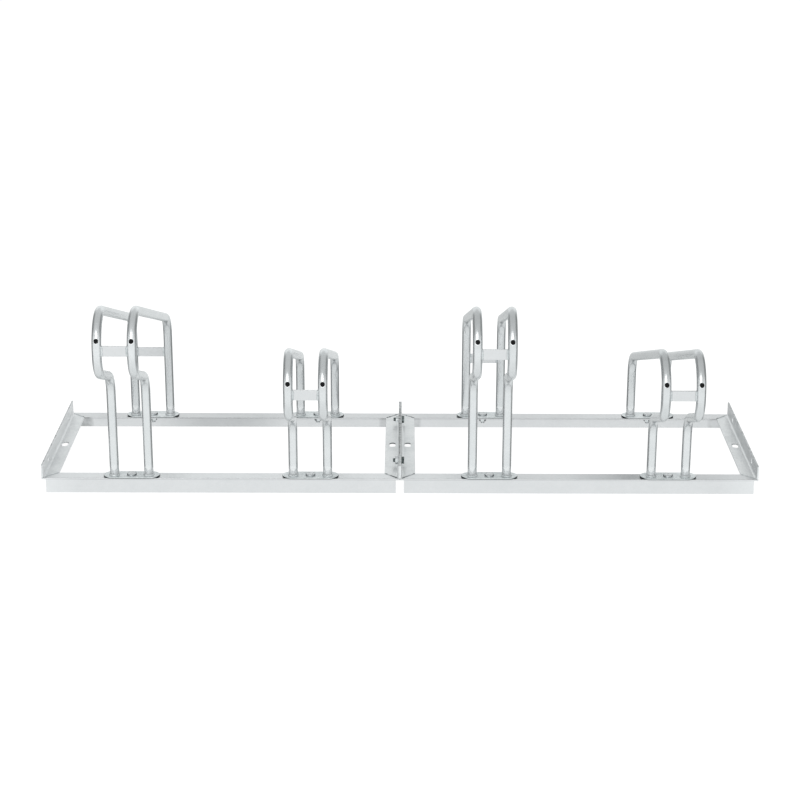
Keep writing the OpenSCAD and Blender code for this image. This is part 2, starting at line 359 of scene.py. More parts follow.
def angle_toe_and_shade(w):
    """Greyer toe on top of the standing flange, a ragged line of painted shade in the gap where the two
    frames meet at X = 0, and painted shade on the far walls of the floor slots."""
    place, normal = space(w)
    patches = total(w, product(w, ragged(w, 110.0, 0.50, 6.0), 0.35), 0.22)
    toe = product(w, above(w, place[2], ANGLE_TOP - 0.001, 2000.0), patches)
    aside = size_of(w, total(w, place[0], 0.0006))
    width = total(w, product(w, ragged(w, 260.0, 0.38, 3.5), 0.0013), 0.0004)
    run = product(w, above(w, place[1], -0.060, 100.0), below(w, place[1], 0.232, 100.0))
    # Painted shade in the gap between the two inner angles, ragged along its width
    seam = product(w, below(w, aside, width, 2500.0), run, 0.9)
    lying = product(w, below(w, place[2], FLANGE - 0.0001, 5000.0),
                    above(w, place[2], ANGLE_UNDER - 0.0001, 5000.0))
    strength = total(w, product(w, centre_joint(w, place), 0.40), 0.40)
    # Painted shade on the slot walls that look to the front, stronger at the joint
    wall = product(w, below(w, normal[1], -0.35, 3.0), lying, strength)
    return largest(w, toe, seam, wall)


def rail_corner_shade_and_clouds(w):
    """Painted shade in the corners of the inner face of the rear rails, faint clouds along the rails,
    and a thin line of painted shade along the edge of the lying flange."""
    place, normal = space(w)
    end = above(w, from_middle(w, place), MIDDLE - 0.048, 110.0)
    looks_front = below(w, normal[1], -0.4, 3.0)
    inside = product(w, looks_front, rear_half(w, place))
    cloud = total(w, product(w, ragged(w, 60.0, 0.35, 3.0), 0.5), 0.5)
    strength = total(w, product(w, left_frame(w, place), 0.27), 0.30)
    # Painted shade in the inner corners, where the rear rails meet the angles
    corner = product(w, end, inside, cloud, strength)
    # Painted shade below the edge of the lying flange
    lip = product(w, below(w, place[2], FLANGE - 0.0015, 2000.0),
                  above(w, place[2], ANGLE_UNDER - 0.0008, 2000.0), looks_front)
    lip = product(w, lip, total(w, product(w, end, inside, 0.5), 0.14))
    top = product(w, facing_up(w, normal), ragged(w, 3.2, 0.47, 5.0), 0.10)
    front_cloud = below(w, size_of(w, w.math("SUBTRACT", place[0], 0.50)), 0.17, 9.0)
    front_cloud = product(w, facing_up(w, normal), front_half(w, place), front_cloud, 0.22)
    rear_cloud = below(w, size_of(w, total(w, place[0], 0.38)), 0.15, 9.0)
    rear_cloud = product(w, inside, total(w, product(w, rear_cloud, 0.22), 0.05))
    return largest(w, corner, total(w, top, lip, front_cloud, rear_cloud))


def head_rim_shade(w):
    """Painted shade on the skirt of a round bolt head, darkest at its two sides."""
    _, normal = space(w)
    skirt = below(w, size_of(w, normal[2]), 0.82, 4.0)
    sides = above(w, size_of(w, normal[0]), 0.35, 2.5)
    return product(w, skirt, total(w, product(w, sides, 0.58), 0.06))


def head_painted_highlight(w):
    """Painted highlight on the crown of a round bolt head."""
    _, normal = space(w)
    return product(w, above(w, normal[2], 0.93, 20.0), 0.45)


def tube_shade_and_dark_tops(w):
    """Painted shade on the rear legs, fading out towards the rear bends, and darker colour on the right
    frame's hoops: their crowns, and their top runs, where z + slope y stays above a level."""
    slope, high_level = 0.328, 0.307
    place, normal = space(w)
    # Painted shade on the rear legs, which get less light
    rear = product(w, above(w, place[1], 0.20, 40.0), below(w, place[2], 0.33, 12.0),
                   total(w, product(w, left_frame(w, place), 0.07), 0.08))
    crown = product(w, above(w, normal[2], 0.60, 4.0), right_frame(w, place), 0.10)
    level = total(w, place[2], product(w, place[1], slope))
    low_run = product(w, above(w, level, high_level - LOW_DROP, 80.0),
                      above(w, place[0], MIDDLE, 50.0), 0.16)
    high_run = product(w, above(w, level, high_level, 80.0), right_frame(w, place), 0.08)
    return largest(w, rear, crown, low_run, high_run)


def tube_painted_light(w):
    """Painted light on the last stretch of a leg, above its weld, and a painted highlight on the front
    of the left high noses.
    """
    place, normal = space(w)
    foot = product(w, below(w, place[2], PLATE_TOP + 0.023, 70.0), 0.9)
    nose = product(w, below(w, normal[1], -0.6, 5.0), above(w, place[2], 0.29, 20.0),
                   left_end(w, place), 0.22)
    return largest(w, foot, nose)


def rail_painted_light(w):
    """Painted light on the front faces towards the rack's two ends, and on the front rails' tops
    from the left end to past the middle."""
    place, normal = space(w)
    ends = above(w, size_of(w, place[0]), 0.62, 8.0)
    face = product(w, below(w, normal[1], -0.7, 5.0), ends, 0.60)
    top = product(w, facing_up(w, normal), below(w, place[0], 0.27, 6.0), 0.36)
    return product(w, front_half(w, place), largest(w, face, top))


def angle_painted_light(w):
    """Painted light, less metallic, on the inner face of the left outer angle's flange, and round
    the joining holes of the outer angles, where the distance from a hole's axis is under 5.4 mm."""
    place, normal = space(w)
    face = product(w, above(w, normal[0], 0.7, 5.0), left_end(w, place), 0.85)
    along = size_of(w, w.math("SUBTRACT", place[1], DEPTH / 2 - Y_MID))
    along = w.math("SUBTRACT", along, JOIN_SPACING / 2)
    up = w.math("SUBTRACT", place[2], JOIN_HEIGHT)
    far = w.math("SQRT", total(w, product(w, along, along), product(w, up, up)))
    outer = above(w, size_of(w, place[0]), 0.6, 50.0)
    return largest(w, face, product(w, below(w, far, 0.0054, 1500.0), outer))


def mitre_shade(w):
    """Painted shade in stretches along the mitre beads: at their two tips at the rear, and all along
    them in the middle of the rack."""
    place, _ = space(w)
    aside = from_middle(w, place)
    tips = largest(w, above(w, aside, MIDDLE - 0.007, 400.0), below(w, aside, MIDDLE - 0.025, 400.0))
    where = product(w, rear_half(w, place), largest(w, tips, 0.12))
    where = w.math("ADD", largest(w, where, centre_joint(w, place)), 0.10, clamp=True)
    return product(w, where, ragged(w, 170.0, 0.40, 6.0), 0.85)


# Finishes

# Colour of real stains and of painted shade, then colour of painted light
STAIN_AND_SHADE_COLOUR = (0.035, 0.045, 0.05, 1)
PAINTED_LIGHT_COLOUR = (0.98, 0.99, 1.0, 1)


def metal(name, skin, light, dark, crystal, shares, rough, bump, metallic=1.0, edge=0.8,
          stain_and_shade=None, painted_light=None, dull=0.0):
    """A Principled metal fed by the zinc skin group, with a bump made from the group's height.

    shares are those of crystals, bloom and specks; rough is the smooth and the dull roughness.
    stain_and_shade gives a mask of places that are darker, from real stains and from painted shade,
    and painted_light one of places with painted light; dull says how much less metallic those places
    are.
    """
    made, w = new_material(name)
    coat = w.node("ShaderNodeGroup", {
        "Light Tone": (*light, 1), "Dark Tone": (*dark, 1), "Crystal Size": crystal,
        "Crystal Share": shares[0], "Bloom Share": shares[1], "Speck Share": shares[2],
        "Smooth Roughness": rough[0], "Dull Roughness": rough[1]}, node_tree=skin).outputs
    relief = w.node("ShaderNodeBump", {"Height": coat["Height"], "Strength": bump,
                                       "Distance": 0.0003})
    colour = coat["Color"]
    if stain_and_shade:
        colour = w.mix(stain_and_shade(w), colour, STAIN_AND_SHADE_COLOUR)
    if painted_light:
        mask = painted_light(w)
        colour = w.mix(mask, colour, PAINTED_LIGHT_COLOUR)
        if dull:
            metallic = w.math("SUBTRACT", metallic, product(w, mask, dull))
    shader = w.node("ShaderNodeBsdfPrincipled", {
        "Base Color": colour, "Roughness": coat["Roughness"], "Metallic": metallic,
        "Normal": relief.outputs["Normal"], "Specular Tint": (edge, edge, edge, 1)})
    w.node("ShaderNodeOutputMaterial", {0: shader.outputs[0]})
    return made


def rail_zinc(skin):
    """Clean, even zinc of the rails and the flat bars, with painted shade in the rear rails' inner
    corners and painted light on front faces and tops.
    """
    return metal("zinc_on_rail", skin, light=(0.79, 0.79, 0.80), dark=(0.61, 0.63, 0.64),
                 crystal=130.0, shares=(0.08, 0.14, 0.10), rough=(0.36, 0.50), bump=0.16,
                 stain_and_shade=rail_corner_shade_and_clouds, painted_light=rail_painted_light)


def angle_zinc(skin):
    """Pale, rougher zinc of the end angles, with painted shade in the joint and the floor slots and
    painted light on the left flange and round the joining holes.
    """
    return metal("zinc_on_angle", skin, light=(0.92, 0.925, 0.93), dark=(0.62, 0.65, 0.66),
                 crystal=130.0, shares=(0.10, 0.22, 0.22), rough=(0.43, 0.55), bump=0.30,
                 stain_and_shade=angle_toe_and_shade, painted_light=angle_painted_light, dull=1.0)


def plate_zinc(skin):
    """Patchy zinc of the foot plates, with painted shade on their walls."""
    return metal("zinc_on_plate", skin, light=(0.84, 0.86, 0.87), dark=(0.56, 0.60, 0.605),
                 crystal=150.0, shares=(0.30, 0.28, 0.35), rough=(0.34, 0.50), bump=0.30,
                 stain_and_shade=plate_wall_shade)


def tube_zinc(skin):
    """Smooth, glossier zinc of the bent tubes, with painted shade on the rear legs and painted light at
    the feet and on the left high noses.
    """
    return metal("zinc_on_tube", skin, light=(0.80, 0.81, 0.82), dark=(0.59, 0.63, 0.635),
                 crystal=170.0, shares=(0.08, 0.16, 0.10), rough=(0.24, 0.38), bump=0.14,
                 edge=0.85, stain_and_shade=tube_shade_and_dark_tops, painted_light=tube_painted_light, dull=0.6)


def bead_zinc(skin):
    """Coarse zinc on the weld beads of the tubes."""
    return metal("zinc_on_weld", skin, light=(0.82, 0.84, 0.85), dark=(0.50, 0.54, 0.545),
                 crystal=300.0, shares=(0.35, 0.30, 0.45), rough=(0.30, 0.55), bump=0.45,
                 metallic=0.6, edge=0.6)


def mitre_zinc(skin):
    """Zinc on the beads of the frame corners, with stretches of painted shade."""
    return metal("zinc_on_mitre", skin, light=(0.80, 0.82, 0.83), dark=(0.50, 0.54, 0.545),
                 crystal=300.0, shares=(0.25, 0.25, 0.35), rough=(0.34, 0.55), bump=0.45,
                 edge=0.6, stain_and_shade=mitre_shade)


def bolt_zinc(skin):
    """Bright plated zinc of the washers and the joining nuts."""
    return metal("zinc_on_bolt", skin, light=(0.84, 0.86, 0.87), dark=(0.40, 0.43, 0.44),
                 crystal=420.0, shares=(0.18, 0.25, 0.30), rough=(0.20, 0.42), bump=0.30,
                 edge=0.3)


def foot_bolt_zinc(skin):
    """Zinc of the foot bolts and their nuts: painted shade on the skirt and a painted highlight on the
    crown.
    """
    return metal("zinc_on_foot_bolt", skin, light=(0.80, 0.82, 0.83), dark=(0.34, 0.37, 0.38),
                 crystal=420.0, shares=(0.18, 0.25, 0.40), rough=(0.20, 0.42), bump=0.30,
                 edge=0.3, stain_and_shade=head_rim_shade, painted_light=head_painted_highlight, dull=0.7)


def shaded_bolt_zinc(skin):
    """Dark zinc of the joining bolts, painted dark for the shade that they sit in under the flange."""
    return metal("joining_bolt_painted_dark", skin, light=(0.30, 0.34, 0.34), dark=(0.02, 0.03, 0.03),
                 crystal=420.0, shares=(0.35, 0.60, 0.60), rough=(0.22, 0.42), bump=0.30,
                 edge=0.3)


def black_plastic():
    """Moulded black plastic with a fine texture and slightly paler patches."""
    made, w = new_material("plug_plastic")
    place = w.node("ShaderNodeTexCoord").outputs["Object"]
    grain = w.node("ShaderNodeTexNoise", {"Vector": place, "Scale": 1800.0, "Detail": 3.0})
    patch = w.node("ShaderNodeTexNoise", {"Vector": place, "Scale": 260.0, "Detail": 2.0})
    colour = w.ramp(patch.outputs["Fac"], [(0.35, (0.003, 0.003, 0.0035)),
                                           (0.7, (0.008, 0.008, 0.009))])
    rough = total(w, product(w, grain.outputs["Fac"], 0.25), 0.33)
    relief = w.node("ShaderNodeBump", {"Height": grain.outputs["Fac"], "Strength": 0.25,
                                       "Distance": 0.0001})
    shader = w.node("ShaderNodeBsdfPrincipled", {"Base Color": colour, "Roughness": rough,
                                                 "Normal": relief.outputs["Normal"],
                                                 "Specular IOR Level": 0.14})
    w.node("ShaderNodeOutputMaterial", {0: shader.outputs[0]})
    return made


def finishes():
    """Every finish of the rack by its name."""
    skin = zinc_skin_group()
    return {
        "rail": rail_zinc(skin), "angle": angle_zinc(skin), "plate": plate_zinc(skin),
        "tube": tube_zinc(skin), "bead": bead_zinc(skin), "mitre": mitre_zinc(skin),
        "bolt": bolt_zinc(skin), "foot_bolt": foot_bolt_zinc(skin),
        "shaded_bolt": shaded_bolt_zinc(skin), "plug": black_plastic(),
    }


# Surfaces worked out as arrays

def circle(count):
    """Angles of a full turn in equal steps, without the last one."""
    return np.linspace(0, FULL_TURN, count, endpoint=False)


def sheet_faces(rows, columns, wrap_rows, wrap_columns):
    """Quads of a grid of rows by columns points, joined end to start where wrapped."""
    r = np.arange(rows if wrap_rows else rows - 1)
    c = np.arange(columns if wrap_columns else columns - 1)
    r, c = np.meshgrid(r, c, indexing="ij")
    r2, c2 = (r + 1) % rows, (c + 1) % columns
    return np.stack([r * columns + c, r * columns + c2, r2 * columns + c2, r2 * columns + c],
                    -1).reshape(-1, 4)


def fan_faces(ring, tip):
    """Triangles from each pair of neighbours in a ring of point numbers to one tip point."""
    return np.stack([ring, np.roll(ring, -1), np.full(len(ring), tip)], -1)


def outward(points, faces):
    """Turns the faces round if the signed volume, the sum of a.(b x c) over the fans, is negative."""
    volume = 0.0
    for block in faces:
        for k in range(1, block.shape[1] - 1):
            a, b, c = points[block[:, 0]], points[block[:, k]], points[block[:, k + 1]]
            volume += float((a * np.cross(b, c)).sum())
    return [block[:, ::-1] for block in faces] if volume < 0 else faces


def capped_tube(rings):
    """A closed skin over rings of shape (n, k, 3), with a fan to the middle point of both end rings."""
    n, k = rings.shape[:2]
    points = np.concatenate([rings.reshape(-1, 3), rings[:1].mean(1), rings[-1:].mean(1)])
    faces = [sheet_faces(n, k, False, True), fan_faces(np.arange(k)[::-1], n * k),
             fan_faces(np.arange(k) + (n - 1) * k, n * k + 1)]
    return points, outward(points, faces)


def closed_ring(rings):
    """A closed skin over rings of shape (n, k, 3) whose last ring joins the first."""
    n, k = rings.shape[:2]
    points = rings.reshape(-1, 3)
    return points, outward(points, [sheet_faces(n, k, True, True)])


def turned(profile, count):
    """A profile of radius and height turned about Z: x = r cos a, y = r sin a, z = h."""
    a = circle(count)
    r, h = np.asarray(profile, float).T
    return np.stack([r[:, None] * np.cos(a), r[:, None] * np.sin(a),
                     np.broadcast_to(h[:, None], (len(h), count))], -1)


def carried(rings, origin, axis, side):
    """Moves rings made about Z to an origin with Z along axis and X along side."""
    axis = np.asarray(axis, float) / np.linalg.norm(axis)
    side = np.asarray(side, float) - axis * np.dot(side, axis)
    side /= np.linalg.norm(side)
    third = np.cross(axis, side)
    return np.asarray(origin) + rings @ np.stack([side, third, axis])


def place_skins(skins, origin, axis, side):
    """Closed skins made about Z, carried to an origin and axis."""
    return [(carried(points, origin, axis, side), blocks) for points, blocks in skins]


def join_skins(skins):
    """Puts several closed skins into one list of points and faces."""
    points, faces, base = [], [], 0
    for skin_points, blocks in skins:
        points.append(skin_points)
        faces += [block + base for block in blocks]
        base += len(skin_points)
    return np.concatenate(points), faces


def make_piece(name, skin, material, replaces=()):
    """A smooth mesh object from points and blocks of faces, at the origin, riding on the rack."""
    points, faces = skin
    mesh = bpy.data.meshes.new(name)
    loops = np.concatenate([block.reshape(-1) for block in faces]).astype(np.int32)
    sizes = np.concatenate([np.full(len(block), block.shape[1]) for block in faces])
    starts = np.concatenate([[0], np.cumsum(sizes)[:-1]]).astype(np.int32)
    mesh.vertices.add(len(points))
    mesh.vertices.foreach_set("co", points.astype(np.float32).reshape(-1))
    mesh.loops.add(len(loops))
    mesh.loops.foreach_set("vertex_index", loops)
    mesh.polygons.add(len(sizes))
    mesh.polygons.foreach_set("loop_start", starts)
    mesh.polygons.foreach_set("use_smooth", np.full(len(sizes), True))
    mesh.update(calc_edges=True)
    mesh.validate()
    mesh.materials.append(material)
    piece = bpy.data.objects.new(name, mesh)
    bpy.context.scene.collection.objects.link(piece)
    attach(piece, "root")
    if replaces:
        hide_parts(*replaces)


# Bent tube hoops

STRAIGHT_STEP = 0.02
BEND_STEP = 0.003
NOSE_STEP = 0.0008
BEND_WIDENING = 0.008
BEND_FLATTENING = 0.025


def hoop_corners(drop):
    """Corner points of a hoop: distance from the rear leg along the hoop, and height."""
    return np.array([[0, PLATE_TOP], [0, REAR_TOP - drop], [-NOSE_RUN, NOSE_TOP - drop],
                     [-NOSE_RUN, NOSE_FOOT - drop], [-LEG_RUN, KNEE - drop],
                     [-LEG_RUN, PLATE_TOP]])


def hoop_line(drop):
    """Centre line as points, directions and the share of bend: straight runs joined by arcs.

    On an arc, point = centre + arm turned by t, where arm goes from the centre to the arc's start.
    The share of bend rises from 0 to 1 over the first fifth of an arc and falls over the last.
    """
    corners = hoop_corners(drop)
    legs = np.diff(corners, axis=0)
    lengths = np.linalg.norm(legs, axis=1)
    ways = legs / lengths[:, None]
    cross = ways[:-1, 0] * ways[1:, 1] - ways[:-1, 1] * ways[1:, 0]
    turns = np.arctan2(cross, (ways[:-1] * ways[1:]).sum(1))
    cut = np.array(BENDS) * np.tan(np.abs(turns) / 2)
    before, after = np.append(cut, 0), np.insert(cut, 0, 0)
    points, dirs, bent = [], [], []
    for i, way in enumerate(ways):
        run = lengths[i] - before[i] - after[i]
        t = np.linspace(0, run, max(2, int(run / STRAIGHT_STEP) + 2))
        points.append(corners[i] + way * (after[i] + t)[:, None])
        dirs.append(np.broadcast_to(way, (len(t), 2)))
        bent.append(np.zeros(len(t)))
        if i < len(turns):
            start = corners[i + 1] - way * cut[i]
            middle = start + np.sign(turns[i]) * BENDS[i] * np.array([-way[1], way[0]])
            step = NOSE_STEP if BENDS[i] == NOSE_BEND else BEND_STEP
            share = np.linspace(0, 1, int(abs(turns[i]) * BENDS[i] / step) + 4)[1:-1]
            angle = share * turns[i]
            c, s = np.cos(angle), np.sin(angle)
            arm = start - middle
            points.append(middle + np.stack([arm[0] * c - arm[1] * s, arm[0] * s + arm[1] * c], -1))
            dirs.append(np.stack([way[0] * c - way[1] * s, way[0] * s + way[1] * c], -1))
            bent.append(np.clip(np.minimum(share, 1 - share) * 5, 0, 1))
    return np.concatenate(points), np.concatenate(dirs), np.concatenate(bent)


def hoop_axes(x, side):
    """Foot of the rear leg, and unit vectors across, along and up the leaning plane of a hoop."""
    a = -side * LEAN
    return (np.array([x + side * REAR_SPACING / 2, REAR_Y - Y_MID, 0.0]),
            np.array([math.cos(a), math.sin(a), 0.0]),
            np.array([-math.sin(a), math.cos(a), 0.0]), np.array([0.0, 0.0, 1.0]))


def plug_axis(x, side, drop):
    """Centre of the nose bend, and the way from it to the plug in the nose."""
    base, _, along, up = hoop_axes(x, side)
    corners = hoop_corners(drop)
    way = (corners[2] - corners[1]) / np.linalg.norm(corners[2] - corners[1])
    turn = abs(math.atan2(-way[0], -way[1]))
    height = NOSE_TOP - drop - NOSE_BEND * math.tan(turn / 2)
    centre = base + (NOSE_BEND - NOSE_RUN) * along + height * up
    return centre, -math.cos(PLUG_ANGLE) * along + math.sin(PLUG_ANGLE) * up


def hoop_skin(x, side, drop):
    """Tube surface: centre + r (cos a across + sin a inward), a little oval where it bends.

    Points within the plug hole are pushed in along its axis by the thickness of the wall.
    """
    hole_r, hole_edge = PLUG_R + 0.0002, 0.0004
    base, across, along, up = hoop_axes(x, side)
    line, ways, bent = hoop_line(drop)
    centre = base + line[:, :1] * along + line[:, 1:] * up
    inward = -ways[:, 1:] * along + ways[:, :1] * up
    a = circle(88)
    wide = TUBE_R * (1 + BEND_WIDENING * bent)[:, None, None]
    flat = TUBE_R * (1 - BEND_FLATTENING * bent)[:, None, None]
    rings = (centre[:, None] + wide * np.cos(a)[:, None] * across
             + flat * np.sin(a)[:, None] * inward[:, None])
    middle, axis = plug_axis(x, side, drop)
    arm = rings - middle
    reach = arm @ axis
    off = np.linalg.norm(arm - reach[..., None] * axis, axis=-1)
    sink = np.clip((hole_r - off) / hole_edge, 0, 1) * (reach > NOSE_BEND - TUBE_R - 0.001)
    return capped_tube(rings - TUBE_WALL * sink[..., None] * axis)


def plug_skin(x, side, drop):
    """Turned plug: a low dome with a round edge, a small pip in its middle, and a shank in the hole.

    The profile is radius and height over the tube's face, in millimetres.
    """
    seat_share = 0.985
    middle, axis = plug_axis(x, side, drop)
    profile = np.array([(0.2, -1.7), (3.6, -1.7), (3.85, -1.5), (3.95, 0.0), (4.05, 0.1),
                        (4.05, 0.22), (3.9, 0.38), (3.4, 0.52), (2.6, 0.6), (1.5, 0.62),
                        (0.95, 0.6), (0.8, 0.42), (0.6, 0.36), (0.3, 0.36), (0.05, 0.36)]) / 1000
    origin = middle + axis * (NOSE_BEND + TUBE_R * seat_share)
    return capped_tube(carried(turned(profile, 40), origin, axis, (0.0, 0.0, 1.0)))


# Weld beads

def ripple(t, seed):
    """A bead's size along its length: one scale for each whole t, highest where it starts, on two
    slow waves."""
    scale = 1.0 + 0.13 * (1 - t % 1.0) ** 2
    slow = 1.0 + 0.10 * np.sin(t * 0.61 + seed) + 0.05 * np.sin(t * 1.73 + 2.1 * seed)
    return scale * slow


def ring_weld(centre, seed):
    """Fillet weld round a tube foot: a rounded triangle between tube and plate, with a rippled face.

    Its face is out = cos(b)^1.25, rise = sin(b)^1.25 over a quarter turn, times the rippled size.
    """
    leg, scales, roundness = 0.0019, 22.0, 1.25
    a = circle(132)
    fade = np.clip(np.minimum(a, FULL_TURN - a) * 4, 0.2, 1)
    size = leg * (1 + (ripple(a / FULL_TURN * scales, seed) - 1) * fade)
    b = np.linspace(0, np.pi / 2, 9)
    out = np.concatenate([np.cos(b) ** roundness, [-0.25, -0.25]])
    rise = np.concatenate([np.sin(b) ** roundness, [1.0, -0.12]])
    out[0], rise[0] = 1.0, -0.06
    r = TUBE_R + size[:, None] * out
    z = centre[2] + size[:, None] * rise
    r[:, -2:] = TUBE_R - 0.0006
    z[:, -1] = centre[2] - 0.0004
    z[:, 0] = centre[2] - 0.0002
    rings = np.stack([centre[0] + r * np.cos(a)[:, None], centre[1] + r * np.sin(a)[:, None], z], -1)
    return closed_ring(rings)


def line_weld(path, size, seed, flat=1.0, lift=(0.0, 0.0, 1.0)):
    """Bead along a path: circle of the rippled size about each point, tapered to both ends.

    flat squeezes the circle along the lift direction, for a low bead on a flat face.
    """
    scale_pitch, point_step, taper = 0.0022, 0.0005, 1.2 * size
    path = np.asarray(path, float)
    step = np.linalg.norm(np.diff(path, axis=0), axis=1)
    s = np.concatenate([[0], np.cumsum(step)])
    t = np.linspace(0, s[-1], max(12, int(s[-1] / point_step)))
    p = np.stack([np.interp(t, s, path[:, k]) for k in range(3)], -1)
    way = np.gradient(p, axis=0)
    way /= np.linalg.norm(way, axis=1)[:, None]
    lift = np.asarray(lift, float)
    n = lift - way * (way @ lift)[:, None]
    n /= np.linalg.norm(n, axis=1)[:, None]
    m = np.cross(way, n)
    edge = np.clip(np.minimum(t, s[-1] - t) / taper, 0, 1)
    r = size * ripple(t / scale_pitch, seed) * np.sqrt(np.clip(1 - (1 - edge) ** 2, 0.02, 1))
    a = circle(16)
    rings = (p[:, None] + r[:, None, None] * (np.cos(a)[:, None] * m[:, None]
                                              + flat * np.sin(a)[:, None] * n[:, None]))
    return capped_tube(rings)


def bar_welds(x, drop, height, y_hoop, seed):
    """Four upright beads where a crossbar meets its two tubes, in the corners of bar and tube.

    Beside a bead, the tube's wall is sqrt(r^2 - (y - centre y)^2) from its centre along X.
    """
    bead, proud, half = 0.0017, 0.0003, BAR_HEIGHT / 2 - 0.0002
    z = np.linspace(height - half, height + half, 14)
    along_at = np.zeros_like(z)
    if y_hoop < 0:
        line = hoop_line(drop)[0]
        nose = line[line[:, 0] < -NOSE_RUN + 0.012]
        order = np.argsort(nose[:, 1])
        along_at = np.interp(z, nose[order, 1], nose[order, 0])
    skins = []
    for side in (-1, 1):
        base, _, along, up = hoop_axes(x, side)
        centre = base + along_at[:, None] * along + z[:, None] * up
        for face in (-1, 1):
            y = y_hoop - Y_MID + face * (BAR_STEEL / 2 + 0.0001)
            depth = np.clip(TUBE_R ** 2 - (y - centre[:, 1]) ** 2, 0, None)
            path = np.stack([centre[:, 0] - side * (np.sqrt(depth) + 0.0006),
                             np.full(len(z), y + face * proud), z], -1)
            skins.append(line_weld(path, bead, seed + side + 3 * face, lift=(0, face, 0)))
    return join_skins(skins)


def mitre_welds(corner_x, corner_y, way_x, way_y, seed):
    """Beads along a mitre from near the outer corner to the inner one, on top and underneath."""
    bead, near, far = 0.0019, 0.0045, FLANGE - 0.0006
    start = np.array([corner_x + way_x * near, corner_y + way_y * near, FLANGE])
    end = np.array([corner_x + way_x * far, corner_y + way_y * far, FLANGE])
    low = np.array([0, 0, -STEEL])
    return join_skins([line_weld([start, end], bead, seed, flat=0.28),
                       line_weld([start + low, end + low], bead, seed + 2, flat=0.35)])


# Fasteners

def hex_rings(levels, height, both=False):
    """Hexagon r(a) = apothem / cos(a mod 60 - 30), cut by a cone so that its corners are bevelled."""
    a = circle(96)
    apothem = HEX_WIDTH / 2
    flat = apothem / np.cos((a % (np.pi / 3)) - np.pi / 6)
    z = np.asarray(levels)[:, None]
    limit = apothem * 0.985 + (height - z) / math.tan(HEX_BEVEL)
    if both:
        limit = np.minimum(limit, apothem * 0.985 + z / math.tan(HEX_BEVEL))
    r = np.minimum(flat[None], limit)
    return np.stack([r * np.cos(a), r * np.sin(a), np.broadcast_to(z, r.shape)], -1)


def hexagon_head():
    """Bevelled hexagon head above Z = 0, with a shallow dish in its top."""
    levels = np.concatenate([[0.0, 0.0002], np.linspace(HEAD_HEIGHT * 0.55, HEAD_HEIGHT, 9)])
    body = hex_rings(levels, HEAD_HEIGHT)
    body[0] *= (0.985, 0.985, 1)
    lid = body[-1:] * (0.93, 0.93, 1)
    dish = body[-1:] * (0.80, 0.80, 1) - (0, 0, 0.00012)
    return capped_tube(np.concatenate([body, lid, dish]))


def threaded_shank(grip):
    """Shank from Z = 0 down, with a thread on its last part and a bevelled tip.

    Radius = that of the bolt - depth * triangle wave of (z / pitch - angle / full turn).
    """
    thread_depth, thread_run, runout, tip_r = 0.00066, 0.008, 0.001, 0.0031
    z = np.linspace(0.0002, -grip, int(grip / 0.00016))
    a = circle(40)
    wave = np.abs(((z[:, None] / THREAD_PITCH - a / FULL_TURN) % 1.0) * 2 - 1)
    cut = np.clip((-z - (grip - BOLT_END - thread_run)) / runout, 0, 1)[:, None]
    r = BOLT_R - thread_depth * wave * cut
    r = np.minimum(r, tip_r + (z[:, None] + grip) * 0.9)
    return capped_tube(np.stack([r * np.cos(a), r * np.sin(a),
                                 np.broadcast_to(z[:, None], r.shape)], -1))


def round_head():
    """Low domed head about Z: an upright rim and a flattened dome, r = R (cos(t)^0.75 + 0.02), at
    most R, and z = rim + dome sin(t)^0.85 for t up to a quarter turn."""
    dome = ROUND_HEAD_HEIGHT - ROUND_RIM
    t = np.linspace(0.06, 1, 18) * np.pi / 2
    r = np.concatenate([[0.2, 0.96, 0.995, 1.0, 1.0], np.cos(t) ** 0.75 + 0.02]) * ROUND_HEAD_R
    z = np.concatenate([[0, 0, 0.00012, 0.0004, ROUND_RIM - 0.0002],
                        ROUND_RIM + dome * np.sin(t) ** 0.85])
    return capped_tube(turned(np.stack([np.minimum(r, ROUND_HEAD_R), z], -1), 56))


def nut_skin():
    """Nut about Z from 0 down: hexagon bevelled at both ends round a bore with a countersink."""
    sink_r, sink_depth = BOLT_R + 0.0007, 0.0007
    levels = np.concatenate([np.linspace(0, 0.45, 6), np.linspace(0.55, 1, 6)]) * NUT_HEIGHT
    outside = hex_rings(levels, NUT_HEIGHT, both=True)
    face, back = outside[-1:] * (0.9, 0.9, 1), outside[:1] * (0.9, 0.9, 1)
    bore = turned([(sink_r, NUT_HEIGHT), (BOLT_R, NUT_HEIGHT - sink_depth),
                   (BOLT_R, sink_depth), (sink_r, 0.0)], outside.shape[1])
    rings = np.concatenate([outside, face, bore, back])
    rings[..., 2] *= -1
    return closed_ring(rings)


# Solids that stay

def soften(node, width, limit, segments=2, measure="OFFSET"):
    """Bevels the edges of a solid that turn by more than limit degrees; its mesh stays as it is.

    The rails' notched ends need the plain ABSOLUTE measure and one segment, with no overshoot.
    """
    piece = nodes[node]
    piece.modifiers.new("join_faces", "WELD").merge_threshold = SAME_POINT
    plain = piece.modifiers.new("plain_faces", "DECIMATE")
    plain.decimate_type = "DISSOLVE"
    plain.angle_limit = math.radians(1)
    bevel = piece.modifiers.new("rolled_edges", "BEVEL")
    bevel.width = width
    bevel.segments = segments
    bevel.limit_method = "ANGLE"
    bevel.angle_limit = math.radians(limit)
    bevel.offset_type = measure
    bevel.loop_slide = False
    bevel.use_clamp_overlap = False
    bevel.harden_normals = True
    piece.modifiers.new("tidy_corners", "WELD").merge_threshold = SAME_POINT


def dress(node, material):
    """Gives a solid its material."""
    mesh = nodes[node].data
    mesh.materials.clear()
    mesh.materials.append(material)


